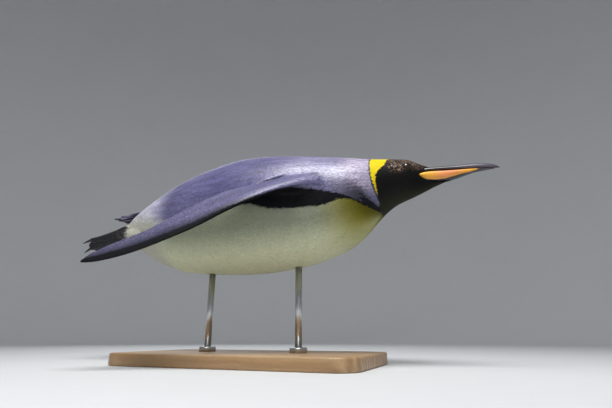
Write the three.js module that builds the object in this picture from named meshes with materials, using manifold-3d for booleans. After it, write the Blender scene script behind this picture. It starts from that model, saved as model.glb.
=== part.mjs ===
// King penguin swimming, a life-size still figure on a plain display stand.
// Millimetres, +Z up, bill towards +X. The row origin is the centre of the stand's underside;
// the bird's own origin is on its long axis, above it.
import * as THREE from 'three';
import { mergeVertices } from 'three/addons/utils/BufferGeometryUtils.js';
import Module from 'manifold-3d';

const wasm = await Module();
wasm.setup();

// ---- driving dimensions --------------------------------------------------------------------------
const gap = 0.3;                       // clearance left where one piece is cut by its neighbour
const bodyHeight = 290;                // the bird's long axis above the surface that the stand rests on
const bodyForward = 30;                // puts the bird's weight over the middle of the base

const tailRootX = -345;                // where the trunk, the neck and the head begin
const neckX = 150;
const hoodX = 216;
const spindle = [                      // x, height of the back, height of the belly, half width
  [-345, -27, -38, 14], [-325, -10, -57, 32], [-290, 12, -75, 52], [-240, 37, -103, 70],
  [-180, 62, -124, 87], [-110, 79, -131, 101], [-30, 88, -135, 109], [60, 79, -128, 104],
  [110, 69.5, -117, 95], [150, 62, -102, 85], [180, 56, -80, 74], [200, 51.5, -59, 64],
  [215, 49, -45.5, 56], [240, 46.5, -30.5, 45], [262, 43, -23.5, 36], [272, 39, -20.5, 29.5],
  [280, 34.5, -18, 21.5], [288, 30, -15, 16], [296, 26.5, -12, 12.5], [303, 24.5, -8, 9],
];
const spindleSides = 36;

const chin = {                         // feathered wedge that runs out under the bill, between its two plates
  rear: 268, tip: 344, rearLow: -21, tipLow: 4.5, rearHigh: 4, tipHigh: 8.5, rearHalf: 13, tipHalf: 1.6,
  steps: 6, sides: 12,
};

const billUpper = [                    // x, height of the ridge, height of the cutting edge, half width
  [278, 24, 9, 9], [290, 25.2, 16.4, 11.6], [306, 24.4, 16, 11], [322, 23.2, 15.2, 9.6],
  [337, 22.6, 14.2, 8.2], [352, 22.3, 13.3, 7], [366, 22, 12.4, 6], [377, 21.2, 11.4, 5.2],
  [387, 19.4, 10.6, 4.3], [394, 16.8, 9.8, 3.3], [399.5, 13.4, 9.2, 2.1], [403, 10.8, 8.9, 1],
];
const billLower = [                    // x, height of the cutting edge, height of the keel, half width
  [278, 10.4, 6.6, 20], [284, 13.6, 1.8, 19.5], [293, 16, -1.8, 17], [306, 15.7, -3.2, 14.4],
  [321, 14.9, -2.6, 11.8], [336, 13.9, -0.2, 9.6], [351, 13, 3.6, 7.6], [366, 12.1, 7, 5.8],
  [380, 10.8, 8, 4.4], [391, 9.8, 8.4, 3], [396, 9.3, 8.6, 1.6],
];
const billSides = 14;
const billSteps = 13;

const eye = { x: 262.5, y: 25.8, z: 20.5, radius: 9.6, sides: 12 };

const flipperChord = [                 // share of the span, chord, thickness, tilt of the chord in degrees
  [0, 46, 40, 36], [0.1, 54, 30, 38], [0.21, 58, 23, 39], [0.32, 65, 18, 42], [0.46, 69, 14.5, 52],
  [0.59, 66, 12, 56], [0.73, 58, 9.5, 51], [0.85, 48, 7.5, 49], [0.93, 36, 5.5, 50],
  [0.97, 24, 4, 50], [1, 9, 2.4, 50],
];
const flipperLead = 0.46;              // share of the chord that lies ahead of the flipper's centre line
const flipperPaths = {                 // centre lines from inside the shoulder to the tip
  right: [[148, -52, 14], [118, -80, 3], [82, -105, -8], [40, -127, -21], [-5, -148, -42],
    [-48, -168, -69], [-108, -199, -106], [-180, -243, -141]],
  left: [[148, 52, 14], [118, 79, 4], [82, 100, -4], [38, 116, -12], [-12, 128, -22],
    [-64, 138, -34], [-134, 148, -48], [-222, 156, -64]],
};
const flipperTilt = { right: 0, left: 24 };   // the left flipper is folded nearer to the flank
const flipperStations = 15;
const flipperSides = 14;

const tail = [                         // x, upper height, lower height, half width
  [-282, 15, -14, 26], [-305, 16, -13, 31], [-330, 15, -9, 32], [-352, 12, -4, 27],
  [-372, 9, 0.5, 17], [-386, 7.5, 3, 9], [-394, 6.5, 4, 4],
];
const tailArch = 6;                    // the fan's edges lie lower than its middle
const tailSides = 18;
const tailSteps = 8;

const leg = {                          // feathered leg, from inside the trunk back to the ankle
  from: [-245, 42, -58], to: [-322, 40, -39], radii: [24, 25, 22.5, 19, 15, 10.5], sides: 14,
};
const foot = {
  ankle: [-317, 40, -37], roll: 24, turnOut: 4, arch: 4, pad: 0.6, rootRadius: 12, tipRadius: 5.2,
  flat: 0.86, web: 4.6, webReach: 0.92, webNotch: 0.47, sides: 8, steps: 5,
  toes: [{ name: 'inner', spread: -15, length: 70 }, { name: 'middle', spread: 1, length: 87 },
    { name: 'outer', spread: 16, length: 72 }],
  heel: [[16, 1, 9.6], [4, 0, 12.4], [-10, -0.5, 12.6], [-24, -1, 9]],   // x, height, radius
};
const footDroop = { right: 21, left: 6 };     // degrees that the toes hang; the left foot is held straighter
const claw = { length: 21, root: 4, radius: 3.6, bend: 4.5, sides: 6, steps: 3 };

const base = { length: 440, width: 240, height: 20, corner: 36, edge: 3, arcSteps: 5 };
const rod = { radius: 6, front: 90, rear: -90, sides: 16 };
const ferrule = { radius: 15, height: 9, edge: 3, sides: 20 };

// ---- finishes ------------------------------------------------------------------------------------
const finish = {
  slate: { color: 0x6f6f96, roughness: 0.62, metalness: 0 },
  slateNeck: { color: 0x7f80a6, roughness: 0.6, metalness: 0 },
  black: { color: 0x16140f, roughness: 0.55, metalness: 0 },
  horn: { color: 0x2b2a30, roughness: 0.35, metalness: 0 },
  orange: { color: 0xe0873a, roughness: 0.32, metalness: 0 },
  eyeball: { color: 0x120c08, roughness: 0.08, metalness: 0 },
  footSkin: { color: 0x201f24, roughness: 0.6, metalness: 0 },
  oak: { color: 0xb08a5c, roughness: 0.5, metalness: 0 },
  steel: { color: 0xb4b7bb, roughness: 0.32, metalness: 1 },
};

// ---- helpers -------------------------------------------------------------------------------------
const radians = THREE.MathUtils.degToRad;

// Smooth curve through a table's column without overshoot (monotone cubic).
function column(table, index) {
  const rows = [...table].sort((a, b) => a[0] - b[0]);
  const x = rows.map((row) => row[0]);
  const y = rows.map((row) => row[index]);
  const slope = x.slice(1).map((value, i) => (y[i + 1] - y[i]) / (value - x[i]));
  const tangent = y.map((_, i) => {
    if (i === 0) return slope[0];
    if (i === slope.length) return slope[i - 1];
    return slope[i - 1] * slope[i] <= 0 ? 0 : (2 * slope[i - 1] * slope[i]) / (slope[i - 1] + slope[i]);
  });
  return (at) => {
    const clamped = Math.min(Math.max(at, x[0]), x[x.length - 1]);
    let i = x.findIndex((value) => value >= clamped) - 1;
    if (i < 0) i = 0;
    const width = x[i + 1] - x[i];
    const t = (clamped - x[i]) / width;
    const s = 1 - t;
    return y[i] * s * s * (1 + 2 * t) + y[i + 1] * t * t * (3 - 2 * t)
      + width * (tangent[i] * s * s * t - tangent[i + 1] * t * t * s);
  };
}

// Six times the volume that a list of faces encloses, below zero when they point inwards.
function enclosed(points, faces) {
  let sum = 0;
  for (let i = 0; i < faces.length; i += 3) {
    const [a, b, c] = [points[faces[i]], points[faces[i + 1]], points[faces[i + 2]]];
    sum += a.dot(b.clone().cross(c));
  }
  return sum;
}

// Closed body through rings of equal count, with a fan at each end, its faces pointing out.
function loft(rings) {
  const count = rings[0].length;
  const points = rings.flat();
  const centre = (ring) => ring.reduce((sum, p) => sum.add(p), new THREE.Vector3()).divideScalar(count);
  points.push(centre(rings[0]), centre(rings[rings.length - 1]));
  const first = points.length - 2;
  const last = points.length - 1;
  const faces = [];
  for (let i = 0; i < count; i += 1) {
    const j = (i + 1) % count;
    faces.push(first, j, i);
    const top = (rings.length - 1) * count;
    faces.push(last, top + i, top + j);
    for (let r = 0; r < rings.length - 1; r += 1) {
      const a = r * count;
      const b = a + count;
      faces.push(a + i, a + j, b + j, a + i, b + j, b + i);
    }
  }
  if (enclosed(points, faces) < 0) faces.reverse();
  const geometry = new THREE.BufferGeometry();
  const positions = points.flatMap((p) => [p.x, p.y, p.z]);
  geometry.setAttribute('position', new THREE.Float32BufferAttribute(positions, 3));
  geometry.setIndex(faces);
  return geometry;
}

function solid(geometry) {
  const shape = geometry.clone();
  shape.deleteAttribute('normal');
  shape.deleteAttribute('uv');
  const merged = mergeVertices(shape, 1e-4);
  const vertProperties = new Float32Array(merged.attributes.position.array);
  const triVerts = new Uint32Array(merged.index.array);
  return new wasm.Manifold(new wasm.Mesh({ numProp: 3, vertProperties, triVerts }));
}

function geometryOf(manifold) {
  const mesh = manifold.getMesh();
  const geometry = new THREE.BufferGeometry();
  geometry.setAttribute('position', new THREE.BufferAttribute(new Float32Array(mesh.vertProperties), 3));
  geometry.setIndex(new THREE.BufferAttribute(new Uint32Array(mesh.triVerts), 1));
  return geometry;
}

// The largest piece of a solid, so that a cut leaves no slivers behind.
function largest(manifold) {
  return manifold.decompose().reduce((best, piece) => (piece.volume() > best.volume() ? piece : best));
}

function named(name, geometry, look) {
  geometry.computeVertexNormals();
  const mesh = new THREE.Mesh(geometry, new THREE.MeshStandardMaterial(finish[look]));
  mesh.name = name;
  return mesh;
}

// Evenly spaced values, and a closed circle of angles.
const range = (from, to, steps) => (
  Array.from({ length: steps + 1 }, (_, i) => from + ((to - from) * i) / steps)
);
const around = (sides) => Array.from({ length: sides }, (_, i) => (2 * Math.PI * i) / sides);

// A cosine or sine raised to a power with its sign kept, which squares up a section.
const rounding = (value, power) => Math.sign(value) * Math.abs(value) ** power;

// ---- trunk, neck and head: one spindle, parted into three ----------------------------------------
const back = column(spindle, 1);
const belly = column(spindle, 2);
const halfWidth = column(spindle, 3);

function spindleRing(x, grow = 0) {
  const middle = (back(x) + belly(x)) / 2;
  const high = (back(x) - belly(x)) / 2 + grow;
  const wide = halfWidth(x) + grow;
  return around(spindleSides).map((turn) => (
    new THREE.Vector3(x, wide * Math.cos(turn), middle + high * Math.sin(turn))
  ));
}

function spindlePart(from, to, steps, grow = 0) {
  return loft(range(from, to, steps).map((x) => spindleRing(x, grow)));
}

const halfGap = gap / 2;
const trunkShape = spindlePart(tailRootX, neckX - halfGap, 19);
const trunkClear = solid(spindlePart(tailRootX - gap, neckX + gap, 60, gap));
const neckShape = spindlePart(neckX + halfGap, hoodX - halfGap, 4);
const headShape = spindlePart(hoodX + halfGap, spindle[spindle.length - 1][0], 12);

// ---- bill ----------------------------------------------------------------------------------------
// The upper half has a rounded ridge over a flat palate, the lower half a rounded keel under a flat top.
function billShape(table, steps, ridgeUp, grow = 0) {
  const outer = column(table, 1);
  const inner = column(table, 2);
  const half = column(table, 3);
  const rings = range(table[0][0] - grow, table[table.length - 1][0] + grow, steps).map((x) => {
    const high = outer(x) + grow;
    const low = inner(x) - grow;
    const wide = half(x) + grow;
    const level = low + (high - low) * (ridgeUp ? 0.28 : 0.62);             // where the half is widest
    return around(billSides).map((turn) => {
      const up = Math.sin(turn);
      const rounded = ridgeUp === up > 0;
      const reach = up > 0 ? high - level : level - low;
      const rise = reach * (rounded ? up : rounding(up, 0.6));
      return new THREE.Vector3(x, wide * rounding(Math.cos(turn), 0.8), level + rise);
    });
  });
  return loft(rings);
}

const chinRings = (grow) => range(0, 1, chin.steps).map((t) => {
  const mix = (a, b) => a + (b - a) * t;
  const low = mix(chin.rearLow, chin.tipLow) - grow;
  const high = mix(chin.rearHigh, chin.tipHigh) + grow;
  const wide = mix(chin.rearHalf, chin.tipHalf) + grow;
  return around(chin.sides).map((turn) => (
    new THREE.Vector3(mix(chin.rear, chin.tip + grow), wide * Math.cos(turn),
      (low + high) / 2 + ((high - low) / 2) * Math.sin(turn))
  ));
});

const upperRaw = solid(billShape(billUpper, billSteps, true));
const lowerRaw = solid(billShape(billLower, billSteps, false));
const upperClear = solid(billShape(billUpper, billSteps, true, gap));
const lowerClear = solid(billShape(billLower, billSteps, false, gap));
const chinSolid = solid(loft(chinRings(0)));
const upperBill = largest(upperRaw.subtract(lowerClear));
const lowerBill = largest(lowerRaw.subtract(solid(loft(chinRings(gap)))));

// ---- eyes and head -------------------------------------------------------------------------------
function ball(radius, side) {
  const geometry = new THREE.SphereGeometry(radius, eye.sides, eye.sides / 2);
  geometry.translate(eye.x, side * eye.y, eye.z);
  return geometry;
}

const headWhole = solid(headShape).add(chinSolid).subtract(lowerClear).subtract(upperClear);
const headSolid = largest([-1, 1].reduce(
  (whole, side) => whole.subtract(solid(ball(eye.radius + gap, side))), headWhole,
));

// ---- flippers ------------------------------------------------------------------------------------
function flipperShape(sideName) {
  const side = sideName === 'right' ? -1 : 1;
  const path = new THREE.CatmullRomCurve3(flipperPaths[sideName].map((p) => new THREE.Vector3(...p)),
    false, 'centripetal');
  const chordAt = column(flipperChord, 1);
  const thickAt = column(flipperChord, 2);
  const tiltAt = column(flipperChord, 3);
  const rings = range(0, 1, flipperStations).map((step) => {
    const t = 1 - (1 - step) ** 1.35;                                     // stations crowd towards the tip
    const centre = path.getPointAt(t);
    const along = path.getTangentAt(t);
    const tilt = radians(tiltAt(t) + flipperTilt[sideName] * Math.min(1, t * 3));
    const lead = new THREE.Vector3(0, side * Math.cos(tilt), -Math.sin(tilt));
    lead.addScaledVector(along, -lead.dot(along)).normalize();
    const face = new THREE.Vector3().crossVectors(along, lead).multiplyScalar(side).normalize();
    const chord = chordAt(t);
    const thick = thickAt(t);
    return around(flipperSides).map((turn) => {
      const back01 = (1 - Math.cos(turn)) / 2;                            // 0 leading edge, 1 trailing edge
      const bulge = Math.sin(turn) * (1 - 0.62 * back01 ** 1.4);
      return centre.clone().addScaledVector(lead, chord * (flipperLead - back01))
        .addScaledVector(face, (-side * thick * bulge) / 2);
    });
  });
  return loft(rings);
}

// ---- tail ----------------------------------------------------------------------------------------
function tailShape() {
  const high = column(tail, 1);
  const low = column(tail, 2);
  const half = column(tail, 3);
  const ends = [tail[0][0], tail[tail.length - 1][0]];
  return loft(range(ends[1], ends[0], tailSteps).map((x) => around(tailSides).map((turn) => {
    const across = rounding(Math.cos(turn), 0.7);
    const middle = (high(x) + low(x)) / 2 - tailArch * across ** 2;
    return new THREE.Vector3(x, half(x) * across, middle + ((high(x) - low(x)) / 2) * Math.sin(turn));
  })));
}

// ---- legs, feet and claws ------------------------------------------------------------------------
// Tapered limb through a list of centres and radii, each ring square to the run.
function limb(centres, radii, sides, flat = 1) {
  const rings = centres.map((centre, i) => {
    const before = centres[Math.max(i - 1, 0)];
    const after = centres[Math.min(i + 1, centres.length - 1)];
    const along = after.clone().sub(before).normalize();
    const across = new THREE.Vector3(0, 0, 1).cross(along).normalize();
    const up = along.clone().cross(across);
    return around(sides).map((turn) => (
      centre.clone().addScaledVector(across, radii[i] * Math.cos(turn))
        .addScaledVector(up, radii[i] * flat * Math.sin(turn))
    ));
  });
  return loft(rings);
}

function legShape(side, grow = 0) {
  const from = new THREE.Vector3(leg.from[0], side * leg.from[1], leg.from[2]);
  const to = new THREE.Vector3(leg.to[0] - grow, side * leg.to[1], leg.to[2]);
  const centres = leg.radii.map((_, i) => from.clone().lerp(to, i / (leg.radii.length - 1)));
  return limb(centres, leg.radii.map((radius) => radius + grow), leg.sides);
}

// A foot is laid out flat, toes along -X with the sole up, then drooped, rolled and set at its ankle.
function footPlace(side) {
  const droop = side < 0 ? footDroop.right : footDroop.left;
  const turn = new THREE.Matrix4().makeRotationFromEuler(
    new THREE.Euler(radians(side * foot.roll), radians(-droop), radians(-side * foot.turnOut), 'ZYX'),
  );
  return turn.setPosition(foot.ankle[0], side * foot.ankle[1], foot.ankle[2]);
}

function toeLine(toe, side, reach = 1) {
  const angle = radians(toe.spread);
  const run = toe.length * reach;
  return new THREE.Vector3(-Math.cos(angle) * run, side * Math.sin(angle) * run, 0);
}

function footSolid(side, grow = 0) {
  const toes = foot.toes.map((toe) => {
    const centres = range(0, 1 + grow / toe.length, foot.steps).map((t) => (
      toeLine(toe, side, t).setZ(-foot.arch * Math.sin(Math.PI * t) * t)
    ));
    const radii = range(0, 1, foot.steps).map((t) => {
      const plain = foot.rootRadius + (foot.tipRadius - foot.rootRadius) * t ** 0.6;
      return plain + foot.pad * Math.cos(t * Math.PI * 6) * t + grow;     // pads between the joints
    });
    return solid(limb(centres, radii, foot.sides, foot.flat));
  });
  const rim = [new THREE.Vector2(6, 0)];
  foot.toes.forEach((toe, i) => {
    const end = toeLine(toe, side, foot.webReach);
    rim.push(new THREE.Vector2(end.x, end.y));
    if (i < foot.toes.length - 1) {
      const next = toeLine(foot.toes[i + 1], side, foot.webReach);
      rim.push(new THREE.Vector2(end.x + next.x, end.y + next.y).multiplyScalar(foot.webNotch));
    }
  });
  const web = new THREE.ExtrudeGeometry(new THREE.Shape(rim), { depth: foot.web, bevelEnabled: false });
  web.translate(0, 0, -foot.web / 2 - 1.2);
  const heelLine = foot.heel.map(([x, height]) => new THREE.Vector3(x, 0, height));
  const heel = solid(limb(heelLine, foot.heel.map((row) => row[2]), foot.sides + 2, foot.flat));
  const whole = [...toes, solid(web)].reduce((sum, piece) => sum.add(piece), heel);
  return whole.transform(footPlace(side).elements);
}

function clawShape(toe, side) {
  const direction = toeLine(toe, side).normalize();
  const centres = range(0, 1, claw.steps).map((t) => toeLine(toe, side, 1)
    .addScaledVector(direction, claw.length * t - claw.root).setZ(-claw.bend * t * t));
  const radii = range(0, 1, claw.steps).map((t) => claw.radius * (1 - t ** 1.6) + 0.35);
  const whole = solid(limb(centres, radii, claw.sides).applyMatrix4(footPlace(side)));
  return geometryOf(largest(whole.subtract(footSolid(side, gap))));
}

// ---- the bird ------------------------------------------------------------------------------------
const bird = new THREE.Group();
bird.position.set(bodyForward, 0, bodyHeight);
bird.add(named('trunk', trunkShape, 'slate'));
bird.add(named('neck', neckShape, 'slateNeck'));
bird.add(named('head', geometryOf(headSolid), 'black'));
bird.add(named('bill_upper', geometryOf(upperBill), 'horn'));
bird.add(named('bill_lower', geometryOf(lowerBill), 'orange'));

for (const [sideName, side] of [['right', -1], ['left', 1]]) {
  bird.add(named(`eye_${sideName}`, ball(eye.radius, side), 'eyeball'));
  const flipper = largest(solid(flipperShape(sideName)).subtract(trunkClear));
  bird.add(named(`flipper_${sideName}`, geometryOf(flipper), 'slate'));
  const thigh = largest(solid(legShape(side)).subtract(trunkClear));
  bird.add(named(`leg_${sideName}`, geometryOf(thigh), 'slate'));
  const footCut = footSolid(side).subtract(trunkClear).subtract(solid(legShape(side, gap)));
  bird.add(named(`foot_${sideName}`, geometryOf(largest(footCut)), 'footSkin'));
  for (const toe of foot.toes) bird.add(named(`claw_${sideName}_${toe.name}`, clawShape(toe, side), 'horn'));
}
bird.add(named('tail', geometryOf(largest(solid(tailShape()).subtract(trunkClear))), 'black'));

// ---- display stand -------------------------------------------------------------------------------
const stand = new THREE.Group();

function baseShape() {
  const x = base.length / 2 - base.edge;
  const y = base.width / 2 - base.edge;
  const r = base.corner - base.edge;
  const outline = new THREE.Shape();
  outline.moveTo(-x + r, -y);
  for (const [i, [right, up]] of [[1, -1], [1, 1], [-1, 1], [-1, -1]].entries()) {
    const start = ((i - 1) * Math.PI) / 2;
    outline.absarc(right * (x - r), up * (y - r), r, start, start + Math.PI / 2, false);
  }
  const geometry = new THREE.ExtrudeGeometry(outline, {
    depth: base.height - 2 * base.edge, bevelThickness: base.edge, bevelSize: base.edge, bevelSegments: 1,
    curveSegments: base.arcSteps,
  });
  return geometry.translate(0, 0, base.edge);
}

function rodShape(x) {
  const bottom = base.height + ferrule.height;
  const geometry = new THREE.CylinderGeometry(rod.radius, rod.radius, bodyHeight - bottom, rod.sides);
  geometry.rotateX(Math.PI / 2);
  geometry.translate(x, 0, (bodyHeight + bottom) / 2);
  return geometryOf(largest(solid(geometry).subtract(trunkClear.translate([bodyForward, 0, bodyHeight]))));
}

function ferruleShape(x) {
  const { radius, height, edge } = ferrule;
  const profile = [[0, 0], [radius, 0], [radius, height - edge], [radius - edge, height], [0, height]];
  const geometry = new THREE.LatheGeometry(profile.map((p) => new THREE.Vector2(...p)), ferrule.sides);
  geometry.rotateX(Math.PI / 2);
  return geometry.translate(x, 0, base.height);
}

stand.add(named('stand_base', baseShape(), 'oak'));
for (const end of ['front', 'rear']) {
  stand.add(named(`stand_rod_${end}`, rodShape(rod[end]), 'steel'));
  stand.add(named(`stand_ferrule_${end}`, ferruleShape(rod[end]), 'steel'));
}

const kingPenguin = new THREE.Group();
kingPenguin.add(bird, stand);

export default kingPenguin;
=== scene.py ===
import math

import bmesh
import bpy
import numpy as np
from mathutils import Matrix, Vector
from mathutils.bvhtree import BVHTree
from mathutils.kdtree import KDTree


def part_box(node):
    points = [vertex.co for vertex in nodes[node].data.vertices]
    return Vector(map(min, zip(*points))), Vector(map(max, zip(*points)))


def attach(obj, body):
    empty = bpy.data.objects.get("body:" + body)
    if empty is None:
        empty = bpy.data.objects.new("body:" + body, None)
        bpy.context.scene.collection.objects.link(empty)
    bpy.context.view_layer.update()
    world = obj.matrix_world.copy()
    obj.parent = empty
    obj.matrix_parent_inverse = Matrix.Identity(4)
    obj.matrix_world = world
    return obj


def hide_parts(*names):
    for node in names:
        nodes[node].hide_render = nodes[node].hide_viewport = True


# King penguin swimming: a still life-size figure on a display stand. Metres, +Z up, bill towards +X.
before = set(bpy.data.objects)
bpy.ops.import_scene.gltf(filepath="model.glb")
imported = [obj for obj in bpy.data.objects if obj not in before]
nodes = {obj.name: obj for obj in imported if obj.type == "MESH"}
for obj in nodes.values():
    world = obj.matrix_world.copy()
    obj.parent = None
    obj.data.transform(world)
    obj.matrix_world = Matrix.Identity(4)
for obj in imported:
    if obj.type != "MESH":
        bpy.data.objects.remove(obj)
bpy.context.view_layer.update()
rng = np.random.default_rng(41)
sides = (("right", -1), ("left", 1))

bird = {
    "axis": np.array([0.030, 0.0, 0.290]),  # the bird's own origin, on its long axis
    "eye": (0.2625, 0.0258, 0.0205),        # centre of an eyeball, from that origin
}
eyePlan = {
    "aim": (0.30, 0.95, 0.08), "ball": 0.0090,
    "cover": 0.0097,                        # the lids' outer radius
    "opening": 29.0, "stretch": (1.10, 0.92),  # half angle of the opening, its length and height
    "rim": 0.00045, "bare": 8.0,            # the lid's own edge, and how far it is free of feathers
    "reach": 0.0125, "sunk": 0.0012,        # how far the skin is changed, and how deep it dips
    "swell": (0.00035, 9, 6),               # height, then degrees outside the opening and degrees wide
}


# small helpers
def linkMesh(name, mesh, body="root"):
    thing = bpy.data.objects.new(name, mesh)
    bpy.context.scene.collection.objects.link(thing)
    if body:
        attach(thing, body)
    return thing


def smoothPiece(name, mesh, *materials):
    mesh.shade_smooth()
    for material in materials:
        mesh.materials.append(material)
    return linkMesh(name, mesh)


def meshFrom(bm, name):
    mesh = bpy.data.meshes.new(name)
    bm.to_mesh(mesh)
    bm.free()
    return mesh


def baked(thing, name):
    # the mesh that a thing's modifiers give, and the thing itself taken away
    graph = bpy.context.evaluated_depsgraph_get()
    mesh = bpy.data.meshes.new_from_object(thing.evaluated_get(graph))
    mesh.name = name
    bpy.data.objects.remove(thing)
    return mesh


def readRows(items, key, width, kind=float):
    rows = np.empty(len(items) * width, kind)
    items.foreach_get(key, rows)
    return rows.reshape(-1, width)


def readPoints(mesh):
    return readRows(mesh.vertices, "co", 3)


def readNormals(mesh):
    return readRows(mesh.vertex_normals, "vector", 3)


def readEdges(mesh):
    return readRows(mesh.edges, "vertices", 2, int)


def readTriangles(mesh):
    mesh.calc_loop_triangles()
    return readRows(mesh.loop_triangles, "vertices", 3, int)


def unit(vectors):
    return vectors / np.maximum(np.linalg.norm(vectors, axis=-1, keepdims=True), 1e-9)


def laidFlat(vectors, normals):
    # directions along a surface, without the part that stands on it
    return unit(vectors - normals * np.sum(vectors * normals, axis=1, keepdims=True))


def birdPlaces(points):
    # millimetres from the bird's own origin
    return (points - bird["axis"]) * 1000


def angleOf(local):
    # degrees above the bird's axis, the same on both sides
    return np.degrees(np.arctan2(local[:, 2], np.abs(local[:, 1])))


def treeOf(places):
    tree = KDTree(len(places))
    for i, place in enumerate(places):
        tree.insert(place, i)
    tree.balance()
    return tree


def smoothStep(low, high, value):
    t = np.clip((value - low) / (high - low), 0, 1)
    return t * t * (3 - 2 * t)


def mixed(first, second, share):
    return first * (1 - share[:, None]) + np.asarray(second) * share[:, None]


def table(value, rows):
    rows = sorted(rows)
    return np.interp(value, [r[0] for r in rows], [r[1] for r in rows])


def spread(values, edges, passes):
    # evens out a value per vertex over its neighbours
    a, b = edges.T
    count = len(values)
    degree = np.maximum(np.bincount(a, minlength=count) + np.bincount(b, minlength=count), 1)[:, None]
    for _ in range(passes):
        total = np.stack([np.bincount(a, values[b, k], count) + np.bincount(b, values[a, k], count)
                          for k in range(values.shape[1])], axis=1)
        values = 0.5 * values + 0.5 * total / degree
    return values


def weightGroup(thing, name, weights, levels=12):
    group = thing.vertex_groups.new(name=name)
    steps = np.round(weights * levels).astype(int)
    for step in range(1, levels + 1):
        group.add(np.nonzero(steps == step)[0].tolist(), step / levels, "REPLACE")
    return group


def writeColours(mesh, name, colours):
    layer = mesh.attributes.new(name, "FLOAT_COLOR", "POINT")
    opaque = np.hstack([colours, np.ones((len(colours), 1))])
    layer.data.foreach_set("color", opaque.astype(np.float32).ravel())


def addFuse(thing, voxel):
    # rounded off, then remade as one closed surface
    rounder = thing.modifiers.new("Subdivision", "SUBSURF")
    rounder.levels = rounder.render_levels = 2
    fuse = thing.modifiers.new("Remesh", "REMESH")
    fuse.mode, fuse.voxel_size = "VOXEL", voxel


def addSmooth(thing, name, passes, group=""):
    step = thing.modifiers.new(name, "SMOOTH")
    step.factor, step.iterations, step.vertex_group = 0.5, passes, group


# the skin: every node of flesh fused into one
skinPlan = {
    "voxel": 0.0012,       # cells that fuse the limbs with the trunk
    "rootDepth": 0.008,    # how far a limb's root is sunk before it is fused
    "rootReach": 0.0012,
    "filletReach": 0.026,  # how far from a root the fillet runs
    "filletPasses": 70,
    "faces": 165000,
    "web": {"swell": 0.07, "thickness": 0.0030},
    "shoulderReach": 0.056,  # the same for the flippers alone, softer
    "shoulderPasses": 380,
    "evenPasses": 3,
    "tailRoot": (0.52, 0.48, 0.62),  # where the tail's fleshy root begins, its length and its girth
}


def mergedNode(*names):
    bm = bmesh.new()
    for name in names:
        bm.from_mesh(nodes[name].data)
    bmesh.ops.remove_doubles(bm, verts=bm.verts, dist=1e-6)
    return bm


def squared(bm):
    bmesh.ops.join_triangles(bm, faces=bm.faces, angle_face_threshold=0.9, angle_shape_threshold=1.2)
    return bm


def weldedBody():
    bm = mergedNode("trunk", "neck", "head")
    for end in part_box("neck"):
        near = {v for v in bm.verts if abs(v.co.x - end.x) < 0.0005}
        caps = [f for f in bm.faces if all(v in near for v in f.verts)]
        bmesh.ops.delete(bm, geom=caps, context="FACES")
        ring = [v for v in bm.verts if abs(v.co.x - end.x) < 0.0005]
        bmesh.ops.remove_doubles(bm, verts=ring, dist=0.0005)
    return squared(bm)


def sunkLimb(name, trees, plan):
    bm = mergedNode(name)
    roots = []
    for v in bm.verts:
        for tree in trees:
            _, normal, _, distance = tree.find_nearest(v.co)
            if distance < plan["rootReach"]:
                roots.append(v.co.copy())
                v.co -= normal * plan["rootDepth"]
                break
    return squared(bm), roots


def eyeFrame(side):
    x, y, z = bird["eye"]
    centre = Vector(bird["axis"]) + Vector((x, side * y, z))
    ax, ay, az = eyePlan["aim"]
    return centre, Vector((ax, side * ay, az)).normalized()


def eyeAngles(points, side):
    # distance from the eyeball's centre, and angle from its aim, measured on the almond of the lids
    centre, aim = (np.array(v) for v in eyeFrame(side))
    offset = points - centre
    level = unit(np.cross((0, 0, 1), aim))
    upright = np.cross(aim, level)
    long, high = eyePlan["stretch"]
    wide = np.hypot(offset @ level / long, offset @ upright / high)
    return np.linalg.norm(offset, axis=1), np.degrees(np.arctan2(wide, offset @ aim))


def lidBall(side):
    bm = bmesh.new()
    bmesh.ops.create_icosphere(bm, subdivisions=3, radius=eyePlan["cover"])
    bmesh.ops.translate(bm, verts=bm.verts, vec=eyeFrame(side)[0])
    return bm


def openLids(points):
    # the skin dips under the eyeball inside the opening, and swells a little round it
    opening = eyePlan["opening"]
    height, offset, width = eyePlan["swell"]
    for _, side in sides:
        centre = np.array(eyeFrame(side)[0])
        away, angle = eyeAngles(points, side)
        near = (away < eyePlan["reach"]) & (angle < 100)
        share = smoothStep(opening - 6, opening + 3, angle[near])
        radius = (eyePlan["ball"] - eyePlan["sunk"]) * (1 - share) + away[near] * share
        radius += height * np.exp(-((angle[near] - opening - offset) / width) ** 2)
        points[near] = centre + unit(points[near] - centre) * radius[:, None]
    return points


def clawBase(sideName, toe):
    claw = nodes[f"claw_{sideName}_{toe}"].data
    places = readPoints(claw)
    return Vector(places[places[:, 0] > places[:, 0].max() - 0.002].mean(axis=0))


def footWeb(sideName, toes):
    # a thin web between two toes, from the foot's root nearly to the claws
    bm = mergedNode(f"foot_{sideName}")
    far = max(v.co.x for v in bm.verts)
    rootPlaces = [v.co.copy() for v in bm.verts if v.co.x > far - 0.03]
    root = sum(rootPlaces, Vector()) / len(rootPlaces)
    bm.free()
    first, second = (clawBase(sideName, toe) for toe in toes)
    front = (first + second) / 2
    corners = [root, first, second, front + (front - root) * skinPlan["web"]["swell"]]
    lift = (first - root).cross(second - root).normalized() * skinPlan["web"]["thickness"] / 2
    bm = bmesh.new()
    for corner in corners:
        bm.verts.new(corner + lift)
        bm.verts.new(corner - lift)
    bmesh.ops.convex_hull(bm, input=bm.verts)
    bmesh.ops.recalc_face_normals(bm, faces=bm.faces)
    return bm


def nearTo(places, points, reach):
    # 1 close to any of the places, 0 beyond the reach
    tree = treeOf(places)
    away = np.array([tree.find(p)[2] for p in points])
    return smoothStep(reach, 0.3 * reach, away)


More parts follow.
